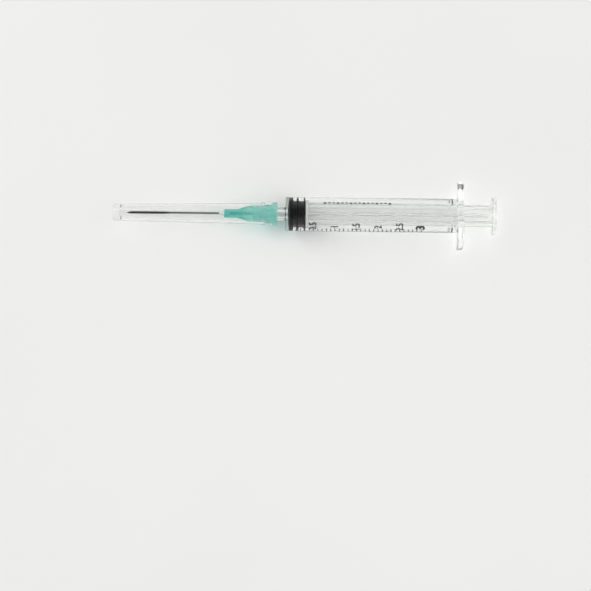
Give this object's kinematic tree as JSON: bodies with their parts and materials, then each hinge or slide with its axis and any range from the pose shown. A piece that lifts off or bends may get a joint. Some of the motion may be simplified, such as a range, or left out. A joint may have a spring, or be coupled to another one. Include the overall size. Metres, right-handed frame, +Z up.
{
  "type": "syringe",
  "caption": "Clear plastic syringe with a finger flange, a crossed-rib plunger with a black stopper, a printed volume scale, and a capped steel needle on a teal hub.",
  "frame": {"origin": "middle of the overall length, on the syringe's axis line seen from above, at the height of the finger flange's lower flat, which the part rests on", "axes": "+X along the syringe's axis towards the thumb rest, so the needle points along -X; +Y along the long way of the finger flange; +Z up"},
  "size_m": [0.125, 0.0226, 0.0128],
  "materials": {
    "clear_plastic": "gloss",
    "black_ink": "matte",
    "black_rubber": "satin",
    "natural_plastic": "satin",
    "teal_plastic": "gloss",
    "steel": "polished",
    "epoxy": "gloss",
    "clear_cap_plastic": "gloss"
  },
  "bodies": {
    "barrel": {"barrel": "clear_plastic", "scale_print": "black_ink"},
    "stopper": {"stopper": "black_rubber"},
    "plunger_rod": {"plunger_rod": "natural_plastic"},
    "needle": {"needle_hub": "teal_plastic", "cannula": "steel", "needle_glue": "epoxy"},
    "cap": {"needle_cap": "clear_cap_plastic"}
  },
  "joints": [
    {"name": "plunger_slide", "type": "slide", "parent": "barrel", "child": "stopper", "axis": [1, 0, 0], "range_m": [0, 0.0455]},
    {"name": "rod_turn", "type": "hinge", "parent": "stopper", "child": "plunger_rod", "pos_m": [0, 0, 0.0064], "axis": [1, 0, 0], "continuous": true},
    {"name": "needle_pull_off", "type": "slide", "parent": "barrel", "child": "needle", "axis": [-1, 0, 0], "range_m": [0, 0.02]},
    {"name": "cap_pull_off", "type": "slide", "parent": "needle", "child": "cap", "axis": [-1, 0, 0], "range_m": [0, 0.055]}
  ]
}
